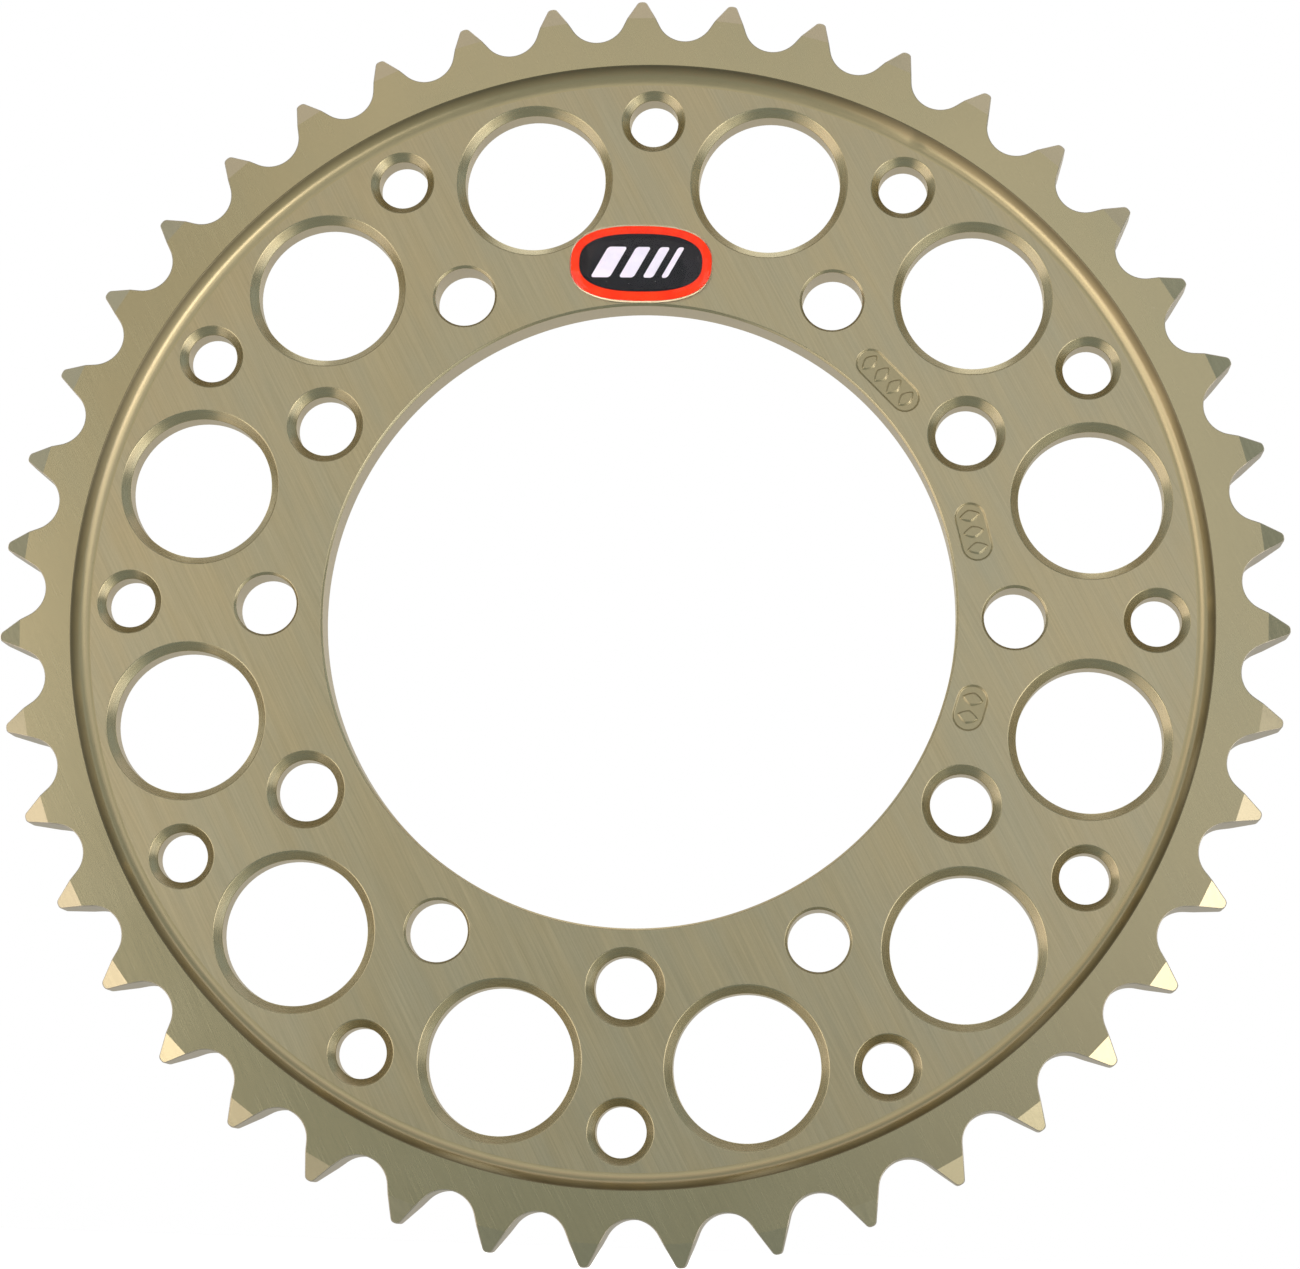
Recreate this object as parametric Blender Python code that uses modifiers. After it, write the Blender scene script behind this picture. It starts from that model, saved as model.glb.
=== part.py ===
"""Motorcycle rear sprocket, 43 teeth for a 15.875 mm pitch chain, with a domed badge.

Frame: metres, +Z up. The origin is the centre of the wheel's axis at the middle of the rim's
thickness. The sprocket's axis is Y, and its outer face, which carries the badge, looks along -Y.
Inside the rim that face is milled lower. The back is flat all over.

Everything is first laid out with the axis along local Z and the outer face up, then stood up by
one parent empty that turns it 90 degrees about X.
"""

import math

import bmesh
import bpy

# ---------------------------------------------------------------- driving dimensions (metres)
MM = 0.001

CHAIN_PITCH = 15.875 * MM
TEETH = 43
SEAT_RADIUS = 5.12 * MM            # roller seat, for a 10.16 mm roller
FLANK_ANGLE = math.radians(29.5)   # flank, measured from the middle of the gap
TIP_RADIUS = 111.85 * MM
TIP_CORNER = 0.55 * MM             # rounding of the two corners of a tooth's tip
FIRST_TOOTH = math.radians(150.0)  # one tooth stands exactly in line with this hole

RIM_THICKNESS = 8.7 * MM
RECESS_DEPTH = 2.3 * MM            # how far the body's face lies below the rim's, in front only
RIM_EDGE_RADIUS = 98.85 * MM       # where the cove meets the rim's face
COVE_FOOT_RADIUS = 95.95 * MM      # where the cove runs out into the body's face
BEVEL_START_RADIUS = 107.8 * MM
BEVEL_DEPTH = 2.3 * MM             # how far the tooth's side drops at the tip

BORE = (55.0 * MM, 0.35 * MM)              # radius, chamfer width
BOLT_CIRCLE_RADIUS = 65.0 * MM
BOLT_HOLE = (5.3 * MM, 0.4 * MM)
COUNTERSUNK_HOLE = (5.33 * MM, 1.45 * MM)
LARGE_CIRCLE_RADIUS = 80.7 * MM
LARGE_HOLE = (12.55 * MM, 1.39 * MM)
SMALL_CIRCLE_RADIUS = 89.2 * MM
SMALL_HOLE = (4.34 * MM, 1.33 * MM)
HOLE_SPACING = 30                          # degrees between holes on every circle

PAD_CIRCLE_RADIUS = 59.7 * MM
PAD_DEPTH = 0.3 * MM
PADS = (                                   # angle in degrees, length, width
    (44.6, 14.0 * MM, 5.3 * MM),
    (14.6, 10.6 * MM, 5.5 * MM),
    (-15.4, 8.3 * MM, 5.5 * MM),
)

BADGE_CENTRE = (-1.4 * MM, 62.6 * MM)
BADGE_SIZE = (25.2 * MM, 14.0 * MM)
BADGE_ROUNDNESS = 2.6                      # exponent of the badge's superellipse
BADGE_GAP = 0.05 * MM                      # clearance left between two layers
ADHESIVE_INSET = 0.35 * MM
ADHESIVE_THICKNESS = 0.15 * MM
FILM_INSET = 0.3 * MM
FILM_THICKNESS = 0.2 * MM
FIELD_INSET = 1.75 * MM
FIELD_THICKNESS = 0.1 * MM
DOME_SKIRT = 0.45 * MM                     # upright edge of the resin under its crown
DOME_CROWN = 0.9 * MM                      # rise of the crown above that edge
STRIPE_THICKNESS = 0.1 * MM
STRIPE_HEIGHT = 5.6 * MM
STRIPE_LEAN = math.radians(28.0)
STRIPES = (                                # middle along X, width
    (-5.6 * MM, 3.4 * MM),
    (-1.0 * MM, 2.6 * MM),
    (2.8 * MM, 1.8 * MM),
    (5.7 * MM, 1.1 * MM),
)

TURN_STEPS = 72                            # facets round the bore and the cove
SEAT_STEPS = 6
CORNER_STEPS = 1
COVE_STEPS = 4
LARGE_STEPS = 24
SMALL_STEPS = 16
OVERLAP = 0.5 * MM                         # how far a cutter reaches past the face it opens

PITCH_RADIUS = CHAIN_PITCH / (2 * math.sin(math.pi / TEETH))
TOOTH_STEP = 2 * math.pi / TEETH
HALF_RIM = RIM_THICKNESS / 2
FACE = HALF_RIM - RECESS_DEPTH             # height of the body's outer face
BACK = -HALF_RIM                           # height of the flat back


# ---------------------------------------------------------------- scene, materials, helpers
def clear_scene():
    for old in list(bpy.data.objects):
        bpy.data.objects.remove(old, do_unlink=True)


def new_collection(name):
    collection = bpy.data.collections.new(name)
    bpy.context.scene.collection.children.link(collection)
    return collection


def principled(name, colour, roughness, metallic, transmission=0.0):
    material = bpy.data.materials.new(name)
    material.use_nodes = True
    shader = material.node_tree.nodes["Principled BSDF"]
    shader.inputs["Base Color"].default_value = (*colour, 1.0)
    shader.inputs["Roughness"].default_value = roughness
    shader.inputs["Metallic"].default_value = metallic
    shader.inputs["Transmission Weight"].default_value = transmission
    material.diffuse_color = (*colour, 1.0)
    return material


def shade(obj):
    obj.data.shade_smooth()
    obj.data.set_sharp_from_angle(angle=math.radians(30))


def polar(radius, angle):
    return (radius * math.cos(angle), radius * math.sin(angle))


def slab_from_loop(name, points, low, high, collection):
    """A flat plate between two heights, from one closed outline, as a mesh object."""
    curve = bpy.data.curves.new(name + "_outline", "CURVE")
    curve.dimensions = "2D"
    curve.fill_mode = "BOTH"
    curve.extrude = (high - low) / 2
    spline = curve.splines.new("POLY")
    spline.points.add(len(points) - 1)
    for point, (x, y) in zip(spline.points, points):
        point.co = (x, y, 0.0, 1.0)
    spline.use_cyclic_u = True
    outline = bpy.data.objects.new(name + "_outline", curve)
    collection.objects.link(outline)
    outline.location.z = (low + high) / 2
    bpy.context.view_layer.update()
    evaluated = outline.evaluated_get(bpy.context.evaluated_depsgraph_get())
    mesh = bpy.data.meshes.new_from_object(evaluated)
    mesh.name = name
    tidy = bmesh.new()
    tidy.from_mesh(mesh)
    bmesh.ops.remove_doubles(tidy, verts=tidy.verts, dist=0.000001)
    bmesh.ops.recalc_face_normals(tidy, faces=tidy.faces)
    tidy.to_mesh(mesh)
    tidy.free()
    slab = bpy.data.objects.new(name, mesh)
    collection.objects.link(slab)
    slab.matrix_world = outline.matrix_world.copy()
    bpy.data.objects.remove(outline, do_unlink=True)
    bpy.data.curves.remove(curve)
    return slab


def turned(name, profile, steps, collection, closed=False):
    """A solid of revolution about local Z. The profile runs down its outer side."""
    mesh = bpy.data.meshes.new(name)
    edges = [(i, i + 1) for i in range(len(profile) - 1)]
    if closed:
        edges.append((len(profile) - 1, 0))
    mesh.from_pydata([(radius, 0.0, height) for radius, height in profile], edges, [])
    obj = bpy.data.objects.new(name, mesh)
    collection.objects.link(obj)
    screw = obj.modifiers.new("Turn", "SCREW")
    screw.axis = "Z"
    screw.angle = 2 * math.pi
    screw.steps = steps
    screw.render_steps = steps
    screw.use_merge_vertices = True
    screw.merge_threshold = 0.000001
    screw.use_smooth_shade = True
    return obj


def as_cutter(obj):
    obj.hide_render = True
    obj.display_type = "WIRE"


def cut_by(target, name, cutter=None, collection=None):
    boolean = target.modifiers.new(name, "BOOLEAN")
    boolean.operation = "DIFFERENCE"
    boolean.solver = "EXACT"
    if collection:
        boolean.operand_type = "COLLECTION"
        boolean.collection = collection
    else:
        boolean.object = cutter


# ---------------------------------------------------------------- the plate
def gap_points(middle):
    """One gap between two teeth: roller seat, both flanks and the two tip corners."""
    seat_end = math.pi / 2 - FLANK_ANGLE
    seat_centre = PITCH_RADIUS
    end_u = SEAT_RADIUS * math.sin(seat_end)
    end_v = seat_centre - SEAT_RADIUS * math.cos(seat_end)
    lean_u = math.sin(FLANK_ANGLE)
    lean_v = math.cos(FLANK_ANGLE)
    # the flank meets the tip circle at this distance along it
    along = end_u * lean_u + end_v * lean_v
    reach = math.sqrt(along ** 2 - end_u ** 2 - end_v ** 2 + TIP_RADIUS ** 2) - along
    corner = (end_u + reach * lean_u, end_v + reach * lean_v)
    corner_angle = math.atan2(corner[0], corner[1])
    before = (corner[0] - TIP_CORNER * lean_u, corner[1] - TIP_CORNER * lean_v)
    after_angle = corner_angle + TIP_CORNER / TIP_RADIUS
    after = (TIP_RADIUS * math.sin(after_angle), TIP_RADIUS * math.cos(after_angle))
    half = []
    for i in range(SEAT_STEPS // 2 + 1):
        angle = seat_end * 2 * i / SEAT_STEPS
        half.append((SEAT_RADIUS * math.sin(angle), seat_centre - SEAT_RADIUS * math.cos(angle)))
    for i in range(CORNER_STEPS + 1):
        t = i / CORNER_STEPS
        weights = ((1 - t) ** 2, 2 * t * (1 - t), t ** 2)
        trio = (before, corner, after)
        half.append(tuple(sum(w * p[axis] for w, p in zip(weights, trio)) for axis in (0, 1)))
    whole = [(-u, v) for u, v in reversed(half)] + half[1:]
    points = []
    for u, v in whole:
        radius = math.hypot(u, v)
        points.append(polar(radius, middle - math.atan2(u, v)))
    return points


def tooth_outline():
    points = []
    for tooth in range(TEETH):
        middle = FIRST_TOOTH - (tooth + 0.5) * TOOTH_STEP
        points.extend(gap_points(middle))
    return points


def hole_cutter(name, place, hole, steps, collection):
    """Drill and both edge chamfers of one hole, as one turned solid."""
    radius, chamfer = hole
    mouth = radius + chamfer + OVERLAP
    profile = [(0.0, FACE + OVERLAP), (mouth, FACE + OVERLAP), (radius, FACE - chamfer)]
    profile += [(radius, BACK + chamfer), (mouth, BACK - OVERLAP), (0.0, BACK - OVERLAP)]
    cutter = turned(name, profile, steps, collection)
    cutter.location = (*place, 0.0)
    as_cutter(cutter)


def recess_cutter(name, collection):
    """Everything above the body's face inside the rim, with the hollow cove at its edge."""
    width = RIM_EDGE_RADIUS - COVE_FOOT_RADIUS
    sweep_radius = (width ** 2 + RECESS_DEPTH ** 2) / (2 * RECESS_DEPTH)
    sweep = math.asin(width / sweep_radius)
    top = HALF_RIM + OVERLAP
    profile = [(0.0, top), (RIM_EDGE_RADIUS, top)]
    for i in range(COVE_STEPS, -1, -1):
        angle = sweep * i / COVE_STEPS
        height = FACE + sweep_radius * (1 - math.cos(angle))
        profile.append((COVE_FOOT_RADIUS + sweep_radius * math.sin(angle), height))
    profile.append((0.0, FACE))
    cutter = turned(name, profile, TURN_STEPS, collection)
    as_cutter(cutter)
    return cutter


def bevel_cutter(name, side, collection):
    """Ring that bevels one side of every tooth, with one flat facet to a tooth."""
    to_vertex = 1 / math.cos(TOOTH_STEP / 2)
    slope = BEVEL_DEPTH / (TIP_RADIUS - BEVEL_START_RADIUS)
    past = 3 * MM
    inner = (BEVEL_START_RADIUS - OVERLAP / slope) * to_vertex
    outer = (TIP_RADIUS + past) * to_vertex
    low = HALF_RIM - BEVEL_DEPTH - past * slope
    profile = [(inner, HALF_RIM + OVERLAP), (outer, HALF_RIM + OVERLAP), (outer, low)]
    if side < 0:
        profile = [(radius, -height) for radius, height in reversed(profile)]
    cutter = turned(name, profile, TEETH, collection, closed=True)
    cutter.rotation_euler.z = FIRST_TOOTH + TOOTH_STEP / 2
    as_cutter(cutter)
    return cutter


def stadium(length, width, steps):
    """Closed outline with two round ends, long side along X."""
    straight = (length - width) / 2
    points = []
    for end in (0, 1):
        for i in range(steps + 1):
            angle = -math.pi / 2 + math.pi * (i / steps + end)
            offset = straight if end == 0 else -straight
            points.append((offset + width / 2 * math.cos(angle), width / 2 * math.sin(angle)))
    return points


def pad_cutters(collection):
    for number, (degrees, length, width) in enumerate(PADS, start=1):
        angle = math.radians(degrees)
        low = FACE - PAD_DEPTH
        name = f"pad_mill_{number}"
        cutter = slab_from_loop(name, stadium(length, width, 8), low, FACE + OVERLAP, collection)
        cutter.location.x, cutter.location.y = polar(PAD_CIRCLE_RADIUS, angle)
        cutter.rotation_euler.z = angle + math.pi / 2
        as_cutter(cutter)


def ring_of_holes(name, radius, degrees, hole, steps, collection):
    for number, angle in enumerate(degrees, start=1):
        place = polar(radius, math.radians(angle))
        hole_cutter(f"{name}_{number}", place, hole, steps, collection)


def make_plate(parts, cutters, drills):
    plate = slab_from_loop("sprocket_plate", tooth_outline(), -HALF_RIM, HALF_RIM, parts)
    for side, label in ((1, "front"), (-1, "back")):
        cut_by(plate, "Bevel " + label, bevel_cutter("bevel_" + label, side, cutters))
    cut_by(plate, "Recess", recess_cutter("recess_mill", cutters))
    hole_cutter("bore_drill", (0.0, 0.0), BORE, TURN_STEPS, drills)
    odd = range(HOLE_SPACING // 2, 360, HOLE_SPACING)
    even = range(0, 360, HOLE_SPACING)
    bolts = range(0, 360, 2 * HOLE_SPACING)
    # the countersunk hole at 90 degrees is left out, because the badge lies there
    lightening = [a for a in range(HOLE_SPACING, 360, 2 * HOLE_SPACING) if a != 90]
    ring_of_holes("large_drill", LARGE_CIRCLE_RADIUS, odd, LARGE_HOLE, LARGE_STEPS, drills)
    ring_of_holes("small_drill", SMALL_CIRCLE_RADIUS, even, SMALL_HOLE, SMALL_STEPS, drills)
    ring_of_holes("bolt_drill", BOLT_CIRCLE_RADIUS, bolts, BOLT_HOLE, SMALL_STEPS, drills)
    ring_of_holes("sink_drill", BOLT_CIRCLE_RADIUS, lightening, COUNTERSUNK_HOLE, SMALL_STEPS, drills)
    pad_cutters(drills)
    cut_by(plate, "Drillings", collection=drills)
    plate.data.materials.append(principled("anodised_aluminium", (0.36, 0.32, 0.20), 0.42, 0.85))
    return plate


# ---------------------------------------------------------------- the badge
def badge_loop(inset, steps=40):
    """The badge's rounded outline, drawn in by an inset, about the badge's own middle."""
    half_x = BADGE_SIZE[0] / 2 - inset
    half_y = BADGE_SIZE[1] / 2 - inset
    power = 2 / BADGE_ROUNDNESS
    points = []
    for i in range(steps):
        angle = 2 * math.pi * i / steps
        c = math.cos(angle)
        s = math.sin(angle)
        x = math.copysign(abs(c) ** power, c) * half_x
        y = math.copysign(abs(s) ** power, s) * half_y
        points.append((x, y))
    return points


def badge_slab(name, inset, low, high, collection):
    slab = slab_from_loop(name, badge_loop(inset), low, high, collection)
    slab.location.x, slab.location.y = BADGE_CENTRE
    return slab


def make_dome(floor, print_top, parts, cutters):
    """Clear resin: an upright skirt and a low crown, hollowed under for the raised print."""
    rings = [(0.0, 0.0), (0.0, DOME_SKIRT)]
    crown_steps = 4
    for i in range(1, crown_steps):
        angle = math.pi / 2 * i / crown_steps
        inset = BADGE_SIZE[1] / 2 * (1 - math.cos(angle)) * 0.9
        rings.append((inset, DOME_SKIRT + DOME_CROWN * math.sin(angle)))
    shell = bmesh.new()
    loops = []
    for inset, height in rings:
        loops.append([shell.verts.new((x, y, floor + height)) for x, y in badge_loop(inset)])
    count = len(loops[0])
    for lower, upper in zip(loops, loops[1:]):
        for i in range(count):
            j = (i + 1) % count
            shell.faces.new((lower[i], lower[j], upper[j], upper[i]))
    shell.faces.new(list(reversed(loops[0])))
    peak = shell.verts.new((0.0, 0.0, floor + DOME_SKIRT + DOME_CROWN))
    for i in range(count):
        shell.faces.new((loops[-1][i], loops[-1][(i + 1) % count], peak))
    mesh = bpy.data.meshes.new("label_dome")
    shell.to_mesh(mesh)
    shell.free()
    dome = bpy.data.objects.new("label_dome", mesh)
    parts.objects.link(dome)
    dome.location.x, dome.location.y = BADGE_CENTRE
    hollow = badge_slab("print_clearance", FIELD_INSET - BADGE_GAP, floor - OVERLAP, print_top, cutters)
    as_cutter(hollow)
    cut_by(dome, "Print clearance", hollow)
    return dome


def stripe_loop(width):
    lean = math.tan(STRIPE_LEAN) * STRIPE_HEIGHT / 2
    half_h = STRIPE_HEIGHT / 2
    half_w = width / 2
    bottom = [(-half_w - lean, -half_h), (half_w - lean, -half_h)]
    top = [(half_w + lean, half_h), (-half_w + lean, half_h)]
    return bottom + top


def make_badge(parts, cutters):
    low = FACE + BADGE_GAP
    adhesive = badge_slab("label_adhesive", ADHESIVE_INSET, low, low + ADHESIVE_THICKNESS, parts)
    low += ADHESIVE_THICKNESS + BADGE_GAP
    film = badge_slab("label_film", FILM_INSET, low, low + FILM_THICKNESS, parts)
    low += FILM_THICKNESS + BADGE_GAP
    dome_floor = low
    field = badge_slab("label_field", FIELD_INSET, low, low + FIELD_THICKNESS, parts)
    low += FIELD_THICKNESS + BADGE_GAP
    stripes = []
    for number, (middle, width) in enumerate(STRIPES, start=1):
        name = f"label_stripe_{number}"
        stripe = slab_from_loop(name, stripe_loop(width), low, low + STRIPE_THICKNESS, parts)
        stripe.location.x = BADGE_CENTRE[0] + middle
        stripe.location.y = BADGE_CENTRE[1]
        stripes.append(stripe)
    dome = make_dome(dome_floor, low + STRIPE_THICKNESS + BADGE_GAP, parts, cutters)
    adhesive.data.materials.append(principled("adhesive", (0.75, 0.74, 0.70), 0.5, 0.0))
    film.data.materials.append(principled("red_film", (0.85, 0.06, 0.01), 0.35, 0.0))
    field.data.materials.append(principled("black_ink", (0.012, 0.011, 0.014), 0.35, 0.0))
    pale_ink = principled("pale_ink", (0.72, 0.69, 0.76), 0.4, 0.0)
    for stripe in stripes:
        stripe.data.materials.append(pale_ink)
    dome.data.materials.append(principled("clear_resin", (1.0, 1.0, 1.0), 0.03, 0.0, 1.0))
    return [adhesive, film, field, *stripes, dome]


# ---------------------------------------------------------------- assembly
def main():
    clear_scene()
    parts = new_collection("rear_sprocket")
    cutters = new_collection("cutters")
    drills = bpy.data.collections.new("drills")
    cutters.children.link(drills)
    plate = make_plate(parts, cutters, drills)
    badge = make_badge(parts, cutters)
    stand = bpy.data.objects.new("sprocket_axis", None)
    parts.objects.link(stand)
    for obj in list(parts.objects) + list(cutters.objects) + list(drills.objects):
        if obj is not stand:
            obj.parent = stand
    stand.rotation_euler.x = math.pi / 2
    for obj in [plate] + badge:
        shade(obj)
    bpy.context.view_layer.update()


main()
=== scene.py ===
"""Looks of the rear sprocket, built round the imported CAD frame.

Everything is laid out in the sprocket's own plane: x to the right, y up, h towards the outer face.
Placed in the frame, that is (x, -h, y), because the sprocket's axis is Y and its outer face looks
along -Y. Lengths are in metres.
"""

import math

import bmesh
import bpy
import numpy as np
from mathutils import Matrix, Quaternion, Vector
from mathutils.geometry import delaunay_2d_cdt


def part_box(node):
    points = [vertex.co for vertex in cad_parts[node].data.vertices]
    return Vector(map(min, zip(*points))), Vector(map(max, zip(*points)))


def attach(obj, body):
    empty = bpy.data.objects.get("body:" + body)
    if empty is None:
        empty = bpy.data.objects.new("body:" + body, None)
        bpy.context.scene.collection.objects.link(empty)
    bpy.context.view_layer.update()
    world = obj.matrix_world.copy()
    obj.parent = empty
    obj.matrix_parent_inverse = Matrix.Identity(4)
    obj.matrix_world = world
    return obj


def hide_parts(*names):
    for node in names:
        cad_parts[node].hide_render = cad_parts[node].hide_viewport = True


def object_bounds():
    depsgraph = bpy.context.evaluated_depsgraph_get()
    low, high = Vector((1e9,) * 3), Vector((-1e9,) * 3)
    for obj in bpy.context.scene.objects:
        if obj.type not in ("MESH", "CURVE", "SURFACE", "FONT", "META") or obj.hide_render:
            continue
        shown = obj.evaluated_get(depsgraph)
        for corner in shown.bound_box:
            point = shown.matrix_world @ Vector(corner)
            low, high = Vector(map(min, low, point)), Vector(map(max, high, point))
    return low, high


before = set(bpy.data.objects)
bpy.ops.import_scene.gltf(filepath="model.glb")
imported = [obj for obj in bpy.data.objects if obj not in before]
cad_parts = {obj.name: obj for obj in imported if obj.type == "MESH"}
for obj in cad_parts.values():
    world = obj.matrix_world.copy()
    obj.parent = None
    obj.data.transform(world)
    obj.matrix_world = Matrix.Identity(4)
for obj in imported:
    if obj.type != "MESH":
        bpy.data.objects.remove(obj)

CAD_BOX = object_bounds()
MM = 0.001
MERGE_DISTANCE = 0.002 * MM               # points nearer than this are one point
SLIVER = 0.0005 * MM                      # faces thinner than this are dropped
CDT_TOLERANCE = 1e-9

# ---------------------------------------------------------------- sizes of the plate
PLATE_LOW, PLATE_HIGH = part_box("sprocket_plate")
RECESS_DEPTH = 2.3 * MM
RIM = -PLATE_LOW.y                        # height of the rim's outer face
BACK = -PLATE_HIGH.y                      # height of the flat back
FACE = RIM - RECESS_DEPTH                 # height of the body's outer face

TEETH = 43
TOOTH_STEP = 2 * math.pi / TEETH
CHAIN_PITCH = 15.875 * MM
PITCH_RADIUS = CHAIN_PITCH / (2 * math.sin(math.pi / TEETH))
FIRST_TOOTH = math.radians(150)
SEAT_RADIUS = 5.12 * MM
SEAT_STEPS = 11
FLANK_ANGLE = math.radians(29.5)
TIP_RADIUS = 111.85 * MM
TIP_CORNER = 0.55 * MM
TIP_CORNER_STEPS = 5
BEVEL_START = 107.8 * MM
BEVEL_DROP = 2.3 * MM                     # how far the bevel falls from its start to the tip
BEVEL_SLOPE = BEVEL_DROP / (TIP_RADIUS - BEVEL_START)
BEVEL_POINT = SEAT_STEPS + 2              # place in half_gap() of the point at the bevel's start
TOOTH_ROUND = 0.16 * MM                   # rounding of the edge round the teeth
TOOTH_ROUND_SHARES = ((0.0, 1.0), (0.13, 0.5), (0.5, 0.13), (1.0, 0.0))  # of it: inset, drop
FLANK_MARGIN = 0.15 * MM                  # support loop beside the rounding, to keep flanks flat

RIM_EDGE = 98.85 * MM
COVE_FOOT = 95.95 * MM
COVE_RADIUS = 2.35 * MM
COVE_ARC_STEPS = 18
COVE_CONE_STEPS = 5
COVE_ROUND = 0.12 * MM
COVE_ROUND_STEPS = 4
COVE_STEPS = 480
WITNESS_PLACE = math.radians(61.3)        # where the milling cutter met its own start
WITNESS_DEPTH = 0.3 * MM
WITNESS_FADE = math.radians(2.6)

BORE = (55.0 * MM, 0.35 * MM, 240, 0.2 * MM)  # radius, chamfer width, steps, outer rounding
BOLT_HOLE = (5.3 * MM, 0.4 * MM, 48, 0.14 * MM)
SUNK_HOLE = (5.33 * MM, 1.45 * MM, 48, 0.2 * MM)
LARGE_HOLE = (12.55 * MM, 1.39 * MM, 84, 0.24 * MM)
SMALL_HOLE = (4.34 * MM, 1.33 * MM, 48, 0.2 * MM)
HOLE_INNER_ROUND = 0.1 * MM
OUTER_ROUND_STEPS = 3
INNER_ROUND_STEPS = 2
CHAMFER_SUPPORTS = (0.07, 0.93)           # shares of the chamfer's cone, to keep it straight
WALL_LEVELS = (0.0, 0.04, 0.5, 0.96, 1.0)
BOLT_CIRCLE = 65.0 * MM
LARGE_CIRCLE = 80.7 * MM
SMALL_CIRCLE = 89.2 * MM
UNDRILLED = 90                            # the bolt circle's one empty place, under the badge

PADS = (                                  # angle, length, width, raised marks
    (44.6, 14.0 * MM, 5.3 * MM, 4),
    (14.6, 10.6 * MM, 5.5 * MM, 3),
    (-15.4, 8.3 * MM, 5.5 * MM, 2),
)
PAD_CIRCLE = 59.7 * MM
PAD_DEPTH = 0.3 * MM
PAD_WALL = ((0.0, 0.0), (0.07, 0.02), (0.13, 0.07), (0.27, 0.22), (0.33, 0.28), (0.4, 0.3))  # mm
PAD_END_STEPS = 10
MARK_WALL = ((0.14, 0.0), (0.05, 0.06), (-0.15, 0.24), (-0.24, 0.28))  # mm: growth, rise
MARK_HALF = (0.34, 0.31)                  # half size, as shares of the pitch and the pad's width
MARK_MARGIN = 0.8 * MM
MARK_END_SPACE = 0.35                     # room kept at the row's ends, in pitches
MARK_POWER = 1.5                          # between an ellipse's 1 and a straight lozenge's 2
MARK_STEPS = 24

KINDS = ("body", "rim", "cove", "chamfer", "wall", "bevel", "flank", "pad")
KIND = {name: number for number, name in enumerate(KINDS)}


# ---------------------------------------------------------------- mesh collector
class Skin:
    """Points and faces of one closed surface, with a kind and a flat layout for every face.

    A face's kind is the place of its material in the object's slots."""

    def __init__(self):
        self.points = []
        self.faces = []
        self.kinds = []
        self.smooth = []
        self.layout = []

    def add(self, corners, kind, layout, smooth):
        start = len(self.points)
        self.points.extend(corners)
        self.faces.append(tuple(range(start, start + len(corners))))
        self.kinds.append(kind)
        self.layout.extend(layout)
        self.smooth.append(smooth)

    def strip(self, one, two, kind, low, high):
        """Smooth faces between two closed loops that have the same number of points."""
        count = len(one)
        run = 0.0
        for i in range(count):
            j = (i + 1) % count
            step = math.dist(one[i], one[j])
            layout = ((run, low), (run + step, low), (run + step, high), (run, high))
            self.add((one[i], one[j], two[j], two[i]), kind, layout, True)
            run += step

    def stack(self, loops, kind):
        """Strips between each loop and the next."""
        across = 0.0
        for lower, upper in zip(loops, loops[1:]):
            width = math.dist(lower[0], upper[0])
            self.strip(lower, upper, kind, across, across + width)
            across += width

    def sheet(self, outer, holes, height, kind):
        """A flat sheet inside one outline and outside the others."""
        loops = [np.array([p[:2] for p in loop]) for loop in [outer] + holes]
        flat = []
        edges = []
        for loop in loops:
            start = len(flat)
            flat.extend(Vector(p) for p in loop)
            count = len(loop)
            edges.extend((start + i, start + (i + 1) % count) for i in range(count))
        points, _, faces, _, _, _ = delaunay_2d_cdt(flat, edges, [], 0, CDT_TOLERANCE)
        points = np.array([tuple(p) for p in points])
        faces = np.array(faces)
        middles = points[faces].mean(axis=1)
        keep = inside(loops[0], middles)
        for loop in loops[1:]:
            keep &= ~inside(loop, middles)
        for face in faces[keep]:
            corners = [(*points[i], height) for i in face]
            self.add(corners, kind, [c[:2] for c in corners], False)

    def cap(self, loop, kind):
        """One flat face inside an outline."""
        self.add(loop, kind, [p[:2] for p in loop], False)

    def build(self, name, sharp=32.0):
        """The finished object. Edges that turn by more than `sharp` degrees stay sharp."""
        mesh = bpy.data.meshes.new(name)
        mesh.from_pydata([(x, -h, y) for x, y, h in self.points], [], self.faces)
        mesh.polygons.foreach_set("material_index", self.kinds)
        mesh.polygons.foreach_set("use_smooth", self.smooth)
        layer = mesh.uv_layers.new(name="layout")
        layer.data.foreach_set("uv", np.array(self.layout, float).ravel())
        work = bmesh.new()
        work.from_mesh(mesh)
        bmesh.ops.remove_doubles(work, verts=work.verts, dist=MERGE_DISTANCE)
        bmesh.ops.dissolve_degenerate(work, dist=SLIVER, edges=work.edges)
        bmesh.ops.recalc_face_normals(work, faces=work.faces)
        open_edges = sum(1 for edge in work.edges if len(edge.link_faces) != 2)
        work.to_mesh(mesh)
        work.free()
        if open_edges:
            print(f"{name}: {open_edges} open edges")
        soft = np.empty(len(mesh.polygons), bool)
        mesh.polygons.foreach_get("use_smooth", soft)
        # this call would make every face smooth, so the flat ones are set back after it
        mesh.set_sharp_from_angle(angle=math.radians(sharp))
        mesh.polygons.foreach_set("use_smooth", soft)
        obj = bpy.data.objects.new(name, mesh)
        bpy.context.scene.collection.objects.link(obj)
        return obj


def inside(loop, points):
    """Which points lie inside a closed outline, by counting crossings."""
    result = np.zeros(len(points), bool)
    x, y = points[:, 0], points[:, 1]
    before = np.roll(loop, 1, axis=0)
    for (x1, y1), (x2, y2) in zip(before, loop):
        if y1 == y2:
            continue
        crosses = (y1 > y) != (y2 > y)
        result ^= crosses & (x < (x2 - x1) * (y - y1) / (y2 - y1) + x1)
    return result


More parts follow.
